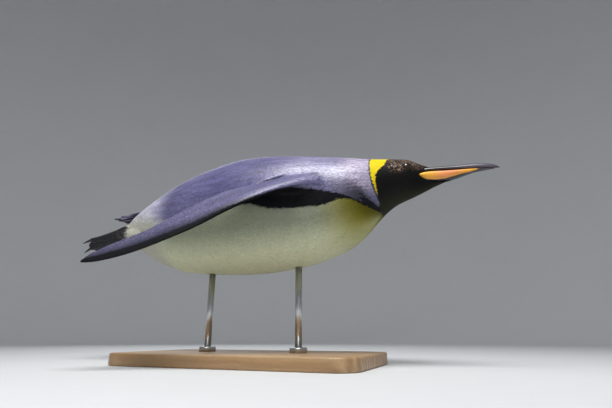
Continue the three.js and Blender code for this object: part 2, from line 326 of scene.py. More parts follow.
def fuseSkin(plan):
    whole = weldedBody()
    trunkTree = BVHTree.FromBMesh(whole)
    roots = []
    shoulders = []
    parts = []
    for sideName, side in sides:
        legTree = BVHTree.FromBMesh(mergedNode(f"leg_{sideName}"))
        for name, trees in ((f"flipper_{sideName}", [trunkTree]), (f"leg_{sideName}", [trunkTree]),
                            (f"foot_{sideName}", [trunkTree, legTree])):
            limb, found = sunkLimb(name, trees, plan)
            parts.append(limb)
            if name.startswith("leg"):
                roots += found
            if name.startswith("flipper"):
                shoulders += found
        parts.append(lidBall(side))
        parts += [footWeb(sideName, toes) for toes in (("inner", "middle"), ("middle", "outer"))]
    rump, found = sunkLimb("tail", [trunkTree], plan)
    low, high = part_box("tail")
    start, run, girth = plan["tailRoot"]
    middle = Vector((0, (low.z + high.z) / 2))
    for v in rump.verts:                       # only the fleshy root of the tail, the rest is quills
        along = (v.co.x - low.x) / (high.x - low.x)
        v.co.x = low.x + (high.x - low.x) * (start + run * along)
        v.co.y *= girth
        v.co.z = middle[1] + (v.co.z - middle[1]) * girth
    parts.append(rump)
    for part in parts:
        piece = meshFrom(part, "part")
        whole.from_mesh(piece)
        bpy.data.meshes.remove(piece)
    source = linkMesh("skinSource", meshFrom(whole, "skinSource"), None)
    addFuse(source, plan["voxel"])
    mesh = baked(source, "skinFused")

    points = readPoints(mesh)
    fillet = nearTo(roots + shoulders, points, plan["filletReach"])
    for _, side in sides:
        away = np.linalg.norm(points - np.array(eyeFrame(side)[0]), axis=1)
        fillet = np.maximum(fillet, 0.5 * smoothStep(0.0090, 0.0115, away) * smoothStep(0.022, 0.016, away))
    fine = np.maximum(smoothStep(0.245, 0.265, points[:, 0]), smoothStep(-0.285, -0.30, points[:, 0]))
    thing = linkMesh("skinFused", mesh, None)
    weightGroup(thing, "fillet", fillet)
    weightGroup(thing, "shoulder", nearTo(shoulders, points, plan["shoulderReach"]))
    weightGroup(thing, "coarse", 1 - fine)
    addSmooth(thing, "Fillet", plan["filletPasses"], "fillet")
    addSmooth(thing, "Shoulder", plan["shoulderPasses"], "shoulder")
    addSmooth(thing, "Even", plan["evenPasses"])
    thin = thing.modifiers.new("Decimate", "DECIMATE")
    thin.ratio = min(1.0, plan["faces"] / (2 * len(mesh.polygons)))
    thin.vertex_group, thin.vertex_group_factor = "coarse", 2.0
    return baked(thing, "skin")


skinMesh = fuseSkin(skinPlan)
print("skin fused:", len(skinMesh.vertices), "vertices")

# which part of the bird a point belongs to
limbNames = ["flipper_right", "flipper_left", "leg_right", "leg_left", "foot_right", "foot_left", "tail"]
bodyPart, flipperRight, flipperLeft, legRight, legLeft, footRight, footLeft, tailPart = range(8)
flipperSides = [(label, *side) for label, side in zip((flipperRight, flipperLeft), sides)]
limbTrees = {name: BVHTree.FromBMesh(mergedNode(name)) for name in limbNames}
bodyTree = BVHTree.FromBMesh(mergedNode("trunk", "neck", "head"))


def partOf(points):
    # the nearest limb's number, and 0 where the body is nearer
    labels = np.zeros(len(points), int)
    best = np.full(len(points), np.inf)
    for label, name in enumerate(limbNames, 1):
        low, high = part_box(name)
        reach = 0.016 if name.startswith("foot") else 0.006      # the webs lie further out
        near = np.all((points > np.array(low) - reach) & (points < np.array(high) + reach), axis=1)
        for i in np.nonzero(near)[0]:
            distance = limbTrees[name].find_nearest(points[i])[3]
            if distance < min(best[i], reach) and distance < bodyTree.find_nearest(points[i])[3] + 0.0002:
                best[i], labels[i] = distance, label
    return labels


# a flipper's own map: share of the span, place on the chord, upper or under face
flipperPlan = {
    "right": [(148, -52, 14), (118, -80, 3), (82, -105, -8), (40, -127, -21), (-5, -148, -42),
              (-48, -168, -69), (-108, -199, -106), (-180, -243, -141)],
    "left": [(148, 52, 14), (118, 79, 4), (82, 100, -4), (38, 116, -12), (-12, 128, -22), (-64, 138, -34),
             (-134, 148, -48), (-222, 156, -64)],
    "chord": [(0, 46), (0.1, 54), (0.21, 58), (0.32, 65), (0.46, 69), (0.59, 66), (0.73, 58), (0.85, 48),
              (0.93, 36), (0.97, 24), (1, 9)],
    "tilt": [(0, 36), (0.1, 38), (0.32, 42), (0.46, 52), (0.59, 56), (0.73, 51), (1, 50)],
    "fold": {"right": 0, "left": 24},
    "leadBand": [(0, 0.0), (0.22, 0.0), (0.4, 0.08), (0.55, 0.17), (0.7, 0.28), (0.85, 0.36), (0.95, 0.48),
                 (1, 0.8)],
    "samples": 160,
}


def flipperMap(points, sideName, side):
    path = np.array(flipperPlan[sideName], float)
    runs = np.concatenate([[0], np.cumsum(np.linalg.norm(np.diff(path, axis=0), axis=1))])
    share = np.linspace(0, 1, flipperPlan["samples"])
    line = np.stack([np.interp(share * runs[-1], runs, path[:, k]) for k in range(3)], axis=1)
    along = unit(np.gradient(line, axis=0))
    folded = flipperPlan["fold"][sideName] * np.minimum(1, share * 3)
    tilt = np.radians(table(share, flipperPlan["tilt"]) + folded)
    lead = np.stack([np.zeros_like(tilt), side * np.cos(tilt), -np.sin(tilt)], axis=1)
    lead = laidFlat(lead, along)
    face = unit(np.cross(along, lead) * side)
    local = birdPlaces(points)
    closest = np.empty(len(points), int)
    for start in range(0, len(points), 5000):
        block = local[start:start + 5000]
        closest[start:start + 5000] = np.argmin(((block[:, None] - line[None]) ** 2).sum(axis=2), axis=1)
    offset = local - line[closest]
    chord = table(share, flipperPlan["chord"])[closest]
    across = np.sum(offset * lead[closest], axis=1) / chord
    height = -np.sum(offset * face[closest], axis=1)
    return share[closest], across, height, along[closest], lead[closest]


foldPlan = {  # behind the right flipper's root, from the bird's own origin in millimetres
    "line": [(28, -3), (75, 10.5)], "ends": (22, 38, 62, 82), "out": -80, "width": 2.4, "depth": 0.0045,
}


def shoulderFold(local):
    # from 0 to 1: where the coat folds in between the flipper and the back
    x, y, z = local.T
    start, full, fading, end = foldPlan["ends"]
    across = (z - table(x, foldPlan["line"])) / foldPlan["width"]
    ends = smoothStep(start, full, x)
    return np.exp(-across ** 2) * ends * smoothStep(end, fading, x) * (y < foldPlan["out"])


# markings, the same for skin and coat, with some painted shade and painted highlights among them
tones = {
    "slate": (0.122, 0.115, 0.238), "slatePale": (0.420, 0.385, 0.530), "slateDeep": (0.026, 0.024, 0.055),
    "neckPale": (0.400, 0.345, 0.470), "slateMid": (0.076, 0.070, 0.180),
    "black": (0.004, 0.004, 0.006), "hood": (0.004, 0.004, 0.004), "crownGlint": (0.300, 0.180, 0.115),
    "olive": (0.012, 0.013, 0.003), "yellow": (0.780, 0.600, 0.006), "gold": (0.300, 0.265, 0.006),
    "goldDeep": (0.085, 0.075, 0.001), "belly": (0.600, 0.640, 0.450), "flank": (0.270, 0.292, 0.215),
    "cream": (0.470, 0.465, 0.380), "rump": (0.560, 0.550, 0.690), "foot": (0.012, 0.012, 0.016),
    "footPale": (0.170, 0.160, 0.150), "glintFleck": (0.560, 0.460, 0.420),
}
pattern = {  # angles above the bird's axis in degrees, places along it in millimetres
    "slateEdge": [(-345, -12), (-310, -14), (-285, -14), (-247, -17), (-218, -20), (-198, -27), (-160, -26),
                  (-60, -18), (17, -8), (60, -9.2), (88, -10.2), (106, -10.2), (126, -11.8), (149, -16),
                  (169, -21.3), (178, -24.8), (186, -30), (195, -38), (201, -46.5), (207, -56.5),
                  (211, -65), (216, -78), (220, -90)],
    "edgeSoftness": [(-345, 26), (-230, 20), (-170, 6), (-100, 1.2), (220, 0.8)],
    "blackEdge": [(-200, -30), (-120, -26), (-60, -20), (17, -18.5), (38, -22.7), (52, -24.8), (77, -26.5),
                  (101, -27.4), (124, -28.4), (140, -28.4), (152, -26.5), (161, -25.5), (172, -26.2),
                  (180, -28.5), (187, -33), (196, -41.5), (203, -51), (209, -63), (214, -80), (218, -92)],
    "hoodRear": [(-90, 213), (-74, 214), (-46, 216), (-7, 216.5), (6, 217), (16, 222.5), (30, 231), (45, 232),
                 (60, 234), (90, 238)],
    "patchRear": [(-36, 217), (-27, 215.5), (-11, 212.5), (3, 210), (17, 208.5), (29, 207.5), (51, 206),
                  (66, 209), (90, 216)],
    "patchHigh": 66, "patchLow": -34, "streaking": 0.55,
    "crownEdge": [(225, 24), (236, 12), (251, 12), (276, 30), (292, 60), (300, 90)],
    "blackBlur": 0.8, "patchRim": (1.0, 1.2), "hoodUnder": (217, -60),
}
# washes of colour laid on in turn: tone, strength, then each measure that brings it in, from none to full
bellyWashes = [
    # painted shade: the upper flank a duller olive, as it lies in shade
    ("flank", 1.0, ("angle", -62, -34), ("along", -230, -150)),
]
breastWashes = [
    # painted shade: the gold darker just under the black band
    ("goldDeep", 0.9, ("along", 146, 200), ("aboveBlack", -46, -5)),
    ("cream", 1.0, ("along", -170, -215)),
]
slateWashes = [
    # painted shade: the slate darker over the middle of the back
    ("slateMid", 0.6, ("along", -130, -40), ("along", 75, 10), ("angle", 75, 45)),
    # painted highlight: a paler slate over the shoulder and upper back
    ("slatePale", 0.30, ("angle", -20, 25), ("along", 40, 110)),
    # painted highlight: the lower neck paler, for the sheen along it
    ("neckPale", 0.95, ("angle", -34, -8), ("along", 142, 190)),
    ("rump", 0.95, ("along", -160, -245), ("angle", 80, 38)),
    ("slateDeep", 1.0, ("aboveSlate", 34, 4), ("along", 110, 205)),
    ("black", 0.95, ("aboveSlate", 27, 11), ("along", 170, 204)),
]
rumpTopWash = [
    ("slateDeep", 1.0, ("along", -272, -292), ("aside", 34, 26), ("height", 2, 7)),
]


def plain(tone, count):
    return np.tile(tones[tone], (count, 1)).astype(float)


def tinted(colours, tone, share):
    return mixed(colours, tones[tone], share)


def washed(colours, washes, measures):
    for tone, strength, *fades in washes:
        share = strength
        for measure, none, full in fades:
            share = share * smoothStep(none, full, measures[measure])
        colours = tinted(colours, tone, share)
    return colours


streakGrid = rng.random((64, 512))


def streaks(along, girth):
    # soft streaks, from 0 to 1: both places counted in cells of an even random grid
    i, j = np.floor(along).astype(int), np.floor(girth).astype(int)
    s, t = smoothStep(0, 1, along - i), smoothStep(0, 1, girth - j)
    rows, columns = streakGrid.shape
    near, far = (streakGrid[i % rows, (j + k) % columns] for k in (0, 1))
    nextNear, nextFar = (streakGrid[(i + 1) % rows, (j + k) % columns] for k in (0, 1))
    return (near * (1 - t) + far * t) * (1 - s) + (nextNear * (1 - t) + nextFar * t) * s


def bodyColours(local, angle):
    x, y, z = local.T
    slateEdge = table(x, pattern["slateEdge"])
    blackEdge = table(x, pattern["blackEdge"])
    measures = {"along": x, "angle": angle, "aside": np.abs(y), "height": z,
                "aboveSlate": angle - slateEdge, "aboveBlack": angle - blackEdge}
    colours = washed(plain("belly", len(x)), bellyWashes, measures)
    goldShare = smoothStep(112, 200, x) * (0.62 + 0.38 * smoothStep(-88, -50, angle))
    colours = washed(tinted(colours, "gold", goldShare), breastWashes, measures)
    blur = pattern["blackBlur"]
    # the black flank band; below the flipper it takes in the dark seen there, partly the band itself and
    # partly painted shade of the flipper
    blackShare = smoothStep(blackEdge - blur, blackEdge + blur, angle) * smoothStep(-190, -120, x)
    colours = tinted(colours, "black", blackShare)
    slate = washed(plain("slate", len(x)), slateWashes, measures)
    slate *= 1 + pattern["streaking"] * (streaks(x / 26, angle / 2.4 + 200 * (y > 0)) - 0.5)[:, None]
    soft = table(x, pattern["edgeSoftness"])
    colours = mixed(colours, slate, smoothStep(slateEdge - soft, slateEdge + soft, angle))
    colours = washed(colours, rumpTopWash, measures)
    low, high = pattern["patchLow"], pattern["patchHigh"]
    hoodRear = table(angle, pattern["hoodRear"])
    patchRear = table(angle, pattern["patchRear"])
    inPatch = (x > patchRear) & (x < hoodRear) & (angle > low) & (angle < high)
    behind, halfRim = pattern["patchRim"]
    rim = (np.abs(x - patchRear + behind) < halfRim) & (angle > low - 8) & (angle < high)
    colours[rim] = tones["slateDeep"]
    colours[inPatch] = tones["yellow"]
    front, under = pattern["hoodUnder"]
    hood = ((x >= hoodRear) & ~inPatch) | ((x > front) & (angle < under))
    colours[hood] = tones["hood"]
    colours = tinted(colours, "olive", smoothStep(-20, -70, angle) * hood)
    return colours, hood


def flipperColours(share, across, height, tilted, chance):
    # tilted: how far up the skin faces
    # painted highlight: the slate paler near the root, the shoulder's sheen carried on to the flipper
    upper = tinted(plain("slate", len(share)), "slatePale", 0.35 * smoothStep(0.26, 0.04, share))
    deep = 0.20 * smoothStep(0.3, 0.55, share) + 0.50 * smoothStep(0.6, 0.95, share)
    upper = tinted(upper, "slateDeep", deep)
    upper = tinted(upper, "slatePale", 0.30 * (chance > 0.72) * smoothStep(0.25, 0.6, share))
    upper *= 1 + pattern["streaking"] * (streaks(share * 9, across * 22 + 100) - 0.5)[:, None]
    blur = 0.03 + 0.10 * smoothStep(0.3, 0.8, share)
    edge = 0.48 - table(share, flipperPlan["leadBand"])
    shadow = 0.8 * smoothStep(edge - 3 * blur, edge, across) * smoothStep(0.25, 0.45, share)
    upper = tinted(upper, "slateDeep", shadow)
    band = smoothStep(edge - blur, edge + blur, across) * smoothStep(0.20, 0.34, share)
    upper = tinted(upper, "black", band)
    border = np.maximum(smoothStep(0.26, 0.34, across), smoothStep(-0.26, -0.36, across))
    under = tinted(plain("belly", len(share)), "black", np.maximum(border, smoothStep(0.84, 0.93, share)))
    under = tinted(under, "black", smoothStep(0.48, 0.38, share))
    nearBody = smoothStep(0.38, 0.28, share)
    facing = smoothStep(-0.15, -0.45, tilted) * smoothStep(-0.34, -0.2, across)
    middle = -1.2 * smoothStep(-0.2, -0.35, across)             # the trailing edge itself counts as upper
    low = smoothStep(middle + 0.5, middle - 0.5, height) * (1 - nearBody) + facing * nearBody
    return mixed(upper, under, low)


def plumage(points, normals, labels, chance):
    # chance: one random number between 0 and 1 for each point
    local = birdPlaces(points)
    angle = angleOf(local)
    colours, hood = bodyColours(local, angle)
    # painted glints: brown flecks over the crown, and a few pale ones, stand for the shimmer of its feathers
    crownEdge = table(local[:, 0], pattern["crownEdge"])
    crownGlint = hood * smoothStep(crownEdge - 4, crownEdge + 8, angle) * smoothStep(230, 240, local[:, 0])
    crownGlint = crownGlint * smoothStep(300, 284, local[:, 0])
    colours = tinted(colours, "crownGlint", crownGlint * (0.03 + 0.97 * smoothStep(0.60, 0.95, chance)))
    colours = tinted(colours, "glintFleck", 0.8 * crownGlint * smoothStep(0.93, 0.98, chance))
    for label, sideName, side in flipperSides:
        mine = labels == label
        if not mine.any():
            continue
        share, across, height, _, _ = flipperMap(points[mine], sideName, side)
        flipper = flipperColours(share, across, height, normals[mine, 2], chance[mine])
        colours[mine] = mixed(colours[mine], flipper, smoothStep(0.13, 0.22, share))
    # painted shade: the fold behind the flipper's root darkened, on top of the skin sunk in there
    colours = tinted(colours, "slateDeep", 0.85 * shoulderFold(local))
    for label in (legRight, legLeft):
        mine = labels == label
        fade = smoothStep(-288, -303, local[mine, 0] + 12 * (chance[mine] - 0.5))
        colours[mine] = tinted(plain("cream", mine.sum()), "foot", fade)
    for label in (footRight, footLeft):
        mine = labels == label
        colours[mine] = tinted(plain("foot", mine.sum()), "footPale", 0.22 * chance[mine] ** 3)
    mine = labels == tailPart
    colours[mine] = tinted(plain("slate", mine.sum()), "slateDeep", chance[mine])
    return colours


# the lie of the coat
def lieOf(points, normals, labels):
    lie = np.tile((-1.0, 0.0, 0.0), (len(points), 1))
    for label, sideName, side in flipperSides:
        mine = labels == label
        _, _, _, along, lead = flipperMap(points[mine], sideName, side)
        lie[mine] = along - 0.22 * lead
    for label in (legRight, legLeft):
        lie[labels == label] = (-0.93, 0, 0.3)
    for label in (footRight, footLeft):
        lie[labels == label] = (-0.96, 0, -0.2)
    for _, side in sides:
        centre, aim = eyeFrame(side)
        offset = points - np.array(centre)
        radial = offset - np.outer(offset @ np.array(aim), np.array(aim))
        away = np.linalg.norm(radial, axis=1, keepdims=True)
        near = np.exp(-(away / 0.011) ** 2) * (np.linalg.norm(offset, axis=1, keepdims=True) < 0.03)
        lie = lie + 0.9 * near * radial / np.maximum(away, 1e-5)
    return laidFlat(lie, normals)


coatPlan = {  # spacing, length, width and lift of a vane in millimetres
    "back": (1.85, 7.8, 3.0, 0.75), "belly": (1.95, 8.0, 3.2, 0.45), "neck": (1.45, 5.6, 2.3, 0.6),
    "head": (1.05, 3.8, 1.6, 0.42), "face": (0.85, 2.6, 1.15, 0.28), "flipper": (1.35, 4.0, 2.0, 0.4),
    "tip": (1.2, 3.2, 1.8, 0.32), "leg": (1.9, 7.0, 3.0, 0.7), "foot": (1.5, 1.9, 1.7, 0.26),
    "rump": (2.1, 9.5, 3.6, 0.8),
}
coatStretches = [("rump", -250, -310), ("neck", 135, 190), ("head", 192, 208), ("face", 250, 285)]


def coatSizes(points, labels):
    local = birdPlaces(points)
    sizes = np.tile(coatPlan["back"], (len(points), 1)).astype(float)
    sizes = mixed(sizes, coatPlan["belly"], (angleOf(local) < -20).astype(float))
    for name, start, full in coatStretches:
        sizes = mixed(sizes, coatPlan[name], smoothStep(start, full, local[:, 0]))
    for label, sideName, side in flipperSides:
        mine = labels == label
        share = flipperMap(points[mine], sideName, side)[0]
        limb = mixed(np.tile(coatPlan["back"], (mine.sum(), 1)).astype(float), coatPlan["flipper"],
                     smoothStep(0.08, 0.28, share))
        sizes[mine] = mixed(limb, coatPlan["tip"], smoothStep(0.6, 0.95, share))
    for _, side in sides:
        sizes = sizes * (1 - 0.35 * smoothStep(0.018, 0.011, eyeAngles(points, side)[0]))[:, None]
    for label in (legRight, legLeft):
        sizes[labels == label] = coatPlan["leg"]
    for label in (footRight, footLeft):
        sizes[labels == label] = coatPlan["foot"]
    sizes[labels == tailPart] = coatPlan["rump"]
    return sizes / 1000


points = readPoints(skinMesh)
labels = partOf(points)
sizes = coatSizes(points, labels)
edges = readEdges(skinMesh)
depth = spread(np.where(labels >= footRight, 0.05, 1.0)[:, None] * sizes[:, 3:4], edges, 6)
for _, side in sides:
    centre, aim = eyeFrame(side)
    depth[np.linalg.norm(points - np.array(centre), axis=1) < eyePlan["reach"] - 0.001] *= 0.25
normals = unit(spread(readNormals(skinMesh), edges, 4))
fold = shoulderFold(birdPlaces(points))[:, None] * foldPlan["depth"]
points = openLids(points - normals * (depth + fold))
skinMesh.vertices.foreach_set("co", points.ravel())
skinMesh.update()
chances = rng.random(len(points))
writeColours(skinMesh, "plumage", plumage(points, normals, labels, chances * 0.5))
normals = readNormals(skinMesh)
lie = spread(lieOf(points, normals, labels), edges, 30)
lie = laidFlat(lie, normals)
print("skin marked")


# roots of the coat, evenly strewn
coatDraws = 4.2                            # roots tried on each square of the spacing


def strewRoots():
    triangles = readTriangles(skinMesh)
    a, b, c = (points[triangles[:, k]] for k in range(3))
    area = np.linalg.norm(np.cross(b - a, c - a), axis=1) / 2
    spacing = sizes[triangles[:, 0], 0]
    middle = (a + b + c) / 3
    bare = np.zeros(len(middle), bool)
    for _, side in sides:
        away, turned = eyeAngles(middle, side)
        bare |= (away < eyePlan["reach"]) & (turned < eyePlan["opening"] + eyePlan["bare"])
    weight = np.where(bare, 0, area / spacing ** 2)
    total = int(coatDraws * weight.sum())
    chosen = rng.choice(len(triangles), total, p=weight / weight.sum())
    s, t = rng.random(total), rng.random(total)
    flip = s + t > 1
    s[flip], t[flip] = 1 - s[flip], 1 - t[flip]
    places = a[chosen] + (b - a)[chosen] * s[:, None] + (c - a)[chosen] * t[:, None]
    reach = spacing[chosen]
    tree = treeOf(places)
    free = np.ones(total, bool)
    kept = []
    for i in range(total):
        if free[i]:
            kept.append(i)
            for _, j, _ in tree.find_range(places[i], reach[i]):
                free[j] = False
    kept = np.array(kept)
    corner = triangles[chosen[kept]]
    u, v = s[kept][:, None], t[kept][:, None]

    def blended(values):
        return values[corner[:, 0]] * (1 - u - v) + values[corner[:, 1]] * u + values[corner[:, 2]] * v

    normal = unit(blended(normals))
    way = laidFlat(blended(lie), normal)
    return {"place": places[kept], "normal": normal, "way": way, "part": labels[corner[:, 0]],
            "size": blended(sizes)}


roots = strewRoots()
rootCount = len(roots["place"])
print("coat roots:", rootCount)

# vanes: a thin closed blade on every root, laid over the skin
vanePlan = {
    # along the vane, across it, height, tone
    "corners": [(-0.06, 0.0, -0.45, 0.50), (0.30, 0.50, 0.16, 0.80), (0.78, 0.44, 0.66, 1.00),
                (1.0, 0.0, 0.92, 1.14), (0.78, -0.44, 0.66, 1.00), (0.30, -0.50, 0.16, 0.80),
                (0.62, 0.0, 1.0, 1.00), (0.55, 0.0, 0.05, 0.60)],
    "outline": [0, 5, 4, 3, 2, 1],
    "yaw": 0.08, "roll": 0.30, "lengthSpread": 0.10, "toneSpread": (0.045, 0.13), "neckSpread": 0.8,
    "widthSpread": 0.08, "liftSpread": 0.07, "faces": 12,
}
skinTree = BVHTree.FromPolygons(points.tolist(), readTriangles(skinMesh).tolist())


def layVanes():
    place, normal, way, size = roots["place"], roots["normal"], roots["way"], roots["size"]
    yaw = rng.normal(0, vanePlan["yaw"], rootCount)[:, None]
    cross = np.cross(normal, way)
    way = way * np.cos(yaw) + cross * np.sin(yaw)
    cross = np.cross(normal, way)
    length = (size[:, 1] * rng.normal(1, vanePlan["lengthSpread"], rootCount))[:, None]
    width = (size[:, 2] * rng.normal(1, vanePlan["widthSpread"], rootCount))[:, None]
    lift = (size[:, 3] * rng.normal(1, vanePlan["liftSpread"], rootCount))[:, None]
    roll = rng.normal(0, vanePlan["roll"], rootCount)[:, None]
    corners = np.empty((rootCount, 8, 3))
    for k, (u, v, h, _) in enumerate(vanePlan["corners"]):
        flat = place + way * (length * u) + cross * (width * v)
        onSkin = np.empty_like(flat)
        out = np.empty_like(flat)
        for i, p in enumerate(flat.tolist()):
            found = skinTree.find_nearest(p)
            onSkin[i], out[i] = found[0], found[1]
        corners[:, k] = onSkin + unit(0.4 * out + 0.6 * normal) * (lift * (h + roll * v * u))
    return corners


vaneCorners = layVanes()
shown = roots["place"] + roots["way"] * roots["size"][:, 1:2] * 0.55     # the half of a vane that shows
vaneColours = plumage(shown, roots["normal"], roots["part"], rng.random(rootCount))
vanePale = smoothStep(0.0, 0.05, vaneColours[:, 1] - vaneColours[:, 2])   # the underside is the more even
paleSpread, darkSpread = vanePlan["toneSpread"]
vaneSpread = darkSpread + (paleSpread - darkSpread) * vanePale
onNeck = smoothStep(0.12, 0.17, shown[:, 0]) * smoothStep(0.25, 0.24, shown[:, 0]) * (1 - vanePale)
vaneSpread = vaneSpread * (1 + vanePlan["neckSpread"] * onNeck)
vaneColours = vaneColours * (1 + vaneSpread * rng.standard_normal(rootCount))[:, None].clip(0.6, 1.5)
print("vanes laid")


def unwrapped(part):
    # a flat map of the skin's own shape, for one part of the bird
    local = birdPlaces(roots["place"])
    if part in (flipperRight, flipperLeft):
        sideName, side = sides[part - 1]
        share, across, height, _, _ = flipperMap(roots["place"], sideName, side)
        return np.stack([share, np.arctan2(height / 12, across) / (2 * math.pi) + 0.5], axis=1)
    turn = np.arctan2(local[:, 2], local[:, 1]) / (2 * math.pi) + 0.5
    return np.stack([local[:, 0], turn], axis=1)


def coatPiece(name, chosen, materials, part=bodyPart):
    picked = np.nonzero(chosen)[0]
    count = len(picked)
    outline = vanePlan["outline"]
    ring = list(zip(outline, outline[1:] + outline[:1]))
    faces = np.array([(6, a, b) for a, b in ring] + [(7, b, a) for a, b in ring])
    corners = vaneCorners[picked].reshape(-1, 3)
    allFaces = (faces[None] + 8 * np.arange(count)[:, None, None]).reshape(-1, 3)
    mesh = bpy.data.meshes.new(name)
    mesh.from_pydata(corners.tolist(), [], allFaces.tolist())
    mesh.shade_smooth()
    rim = (readEdges(mesh) % 8 < 6).all(axis=1)
    mesh.attributes.new("sharp_edge", "BOOLEAN", "EDGE").data.foreach_set("value", rim)
    tone = np.array([c[3] for c in vanePlan["corners"]])
    tone = 1 + (tone[None, :] - 1) * (1 - 0.6 * vanePale[picked])[:, None]
    colours = (vaneColours[picked][:, None] * tone[:, :, None]).reshape(-1, 3)
    writeColours(mesh, "plumage", colours)
    flat = unwrapped(part)[picked]
    flat = 0.01 + 0.98 * (flat - flat.min(0)) / (flat.max(0) - flat.min(0))
    patch = np.array([(c[0] - 0.5, c[1]) for c in vanePlan["corners"]]) * 0.003
    perVertex = (flat[:, None] + patch[None]).reshape(-1, 2)
    mesh.uv_layers.new(name="OFBake").data.foreach_set("uv", perVertex[allFaces.ravel()].ravel())
    for material in materials:
        mesh.materials.append(material)
    kind = np.minimum(vanePale[picked] > 0.5, len(materials) - 1).astype(int)
    kind[vaneColours[picked].max(axis=1) < 0.03] = len(materials) - 1
    mesh.polygons.foreach_set("material_index", np.repeat(kind, vanePlan["faces"]))
    thing = linkMesh(name, mesh)
    print(name, vanePlan["faces"] * count, "triangles")
    return thing


# materials
def groupSocket(group, name, way, kind, value=None):
    socket = group.interface.new_socket(name=name, in_out=way, socket_type=kind)
    if value is not None:
        socket.default_value = value
    return socket


def mathNode(n, l, operation, *terms):
    # each term is a plain number or another node's output
    node = n.new("ShaderNodeMath")
    node.operation = operation
    for socket, term in zip(node.inputs, terms):
        if isinstance(term, (int, float)):
            socket.default_value = term
        else:
            l.new(term, socket)
    return node.outputs[0]


def buildMottle():
    # slow and fine unevenness of tone, from places on the object
    group = bpy.data.node_groups.new("Mottle", "ShaderNodeTree")
    groupSocket(group, "Vector", "INPUT", "NodeSocketVector")
    groupSocket(group, "Scale", "INPUT", "NodeSocketFloat", 60.0)
    groupSocket(group, "Amount", "INPUT", "NodeSocketFloat", 0.2)
    groupSocket(group, "Tone", "OUTPUT", "NodeSocketFloat")
    groupSocket(group, "Fine", "OUTPUT", "NodeSocketFloat")
    n, l = group.nodes, group.links
    inputs, outputs = n.new("NodeGroupInput").outputs, n.new("NodeGroupOutput").inputs
    slow, fine = n.new("ShaderNodeTexNoise"), n.new("ShaderNodeTexNoise")
    fineScale = mathNode(n, l, "MULTIPLY", inputs["Scale"], 9)
    for noise, detail, scale in ((slow, 3, inputs["Scale"]), (fine, 2, fineScale)):
        noise.inputs["Detail"].default_value = detail
        l.new(inputs["Vector"], noise.inputs["Vector"])
        l.new(scale, noise.inputs["Scale"])
    both = mathNode(n, l, "ADD", slow.outputs["Fac"], fine.outputs["Fac"])
    less = mathNode(n, l, "SUBTRACT", both, 1.0)
    tone = mathNode(n, l, "MULTIPLY_ADD", less, inputs["Amount"], 1.0)
    l.new(tone, outputs["Tone"])
    l.new(fine.outputs["Fac"], outputs["Fine"])
    return group


mottle = buildMottle()


def newMaterial(name, **values):
    material = bpy.data.materials.new(name)
    material.use_nodes = True
    shader = material.node_tree.nodes["Principled BSDF"]
    for key, value in values.items():
        shader.inputs[key].default_value = value
    return material, material.node_tree.nodes, material.node_tree.links, shader


def addMottle(n, l, scale, amount, vector=None):
    where = n.new("ShaderNodeTexCoord") if vector is None else None
    node = n.new("ShaderNodeGroup")
    node.node_tree = mottle
    node.inputs["Scale"].default_value = scale
    node.inputs["Amount"].default_value = amount
    l.new(where.outputs["Object"] if vector is None else vector, node.inputs["Vector"])
    return node


def timesTone(n, l, colour, tone):
    product = n.new("ShaderNodeVectorMath")
    product.operation = "SCALE"
    l.new(colour, product.inputs[0])
    l.new(tone, product.inputs["Scale"])
    return product.outputs[0]


def mapped(n, l, value, low, high):
    node = n.new("ShaderNodeMapRange")
    node.inputs["To Min"].default_value, node.inputs["To Max"].default_value = low, high
    l.new(value, node.inputs["Value"])
    return node.outputs[0]


def addBump(n, l, shader, height, strength, distance):
    bump = n.new("ShaderNodeBump")
    bump.inputs["Strength"].default_value = strength
    bump.inputs["Distance"].default_value = distance
    l.new(height, bump.inputs["Height"])
    l.new(bump.outputs[0], shader.inputs["Normal"])


def attributeColour(n, name):
    node = n.new("ShaderNodeAttribute")
    node.attribute_name = name
    return node.outputs["Color"]


def plainColour(n, colour):
    node = n.new("ShaderNodeRGB")
    node.outputs[0].default_value = (*colour, 1)
    return node.outputs[0]


def finished(made, colour, grain, unevenness, roughness, bump=None, vector=None):
    # a colour toned unevenly, with roughness and bumps that follow the same grain
    material, n, l, shader = made
    tone = addMottle(n, l, grain, unevenness, vector)
    l.new(timesTone(n, l, colour, tone.outputs["Tone"]), shader.inputs["Base Color"])
    l.new(mapped(n, l, tone.outputs["Fine"], *roughness), shader.inputs["Roughness"])
    if bump:
        addBump(n, l, shader, tone.outputs["Fine"], *bump)
    return material


featherFinish = {  # roughness, gloss, mottling, grain
    "coatBody": (0.35, 0.70, 0.22, 45), "coatBelly": (0.55, 0.14, 0.16, 60),
    "coatBlack": (0.60, 0.12, 0.40, 90), "coatHood": (0.60, 0.16, 0.45, 140),
    "coatFlipper": (0.38, 0.50, 0.30, 90), "skinPlumage": (0.65, 0.15, 0.30, 60),
    "footSkin": (0.55, 0.30, 0.50, 160), "tailQuill": (0.55, 0.30, 0.50, 170),
}


def featherMaterial(name):
    roughness, gloss, mottling, grain = featherFinish[name]
    made = newMaterial(name, **{"Specular IOR Level": gloss})
    paint = attributeColour(made[1], "plumage")
    return finished(made, paint, grain, mottling, (roughness - 0.07, roughness + 0.09), (0.25, 0.0002))


coatMaterial = featherMaterial("coatBody")
bellyMaterial = featherMaterial("coatBelly")
blackMaterial = featherMaterial("coatBlack")
hoodMaterial = featherMaterial("coatHood")
flipperMaterial = featherMaterial("coatFlipper")
skinMaterial = featherMaterial("skinPlumage")
footMaterial = featherMaterial("footSkin")

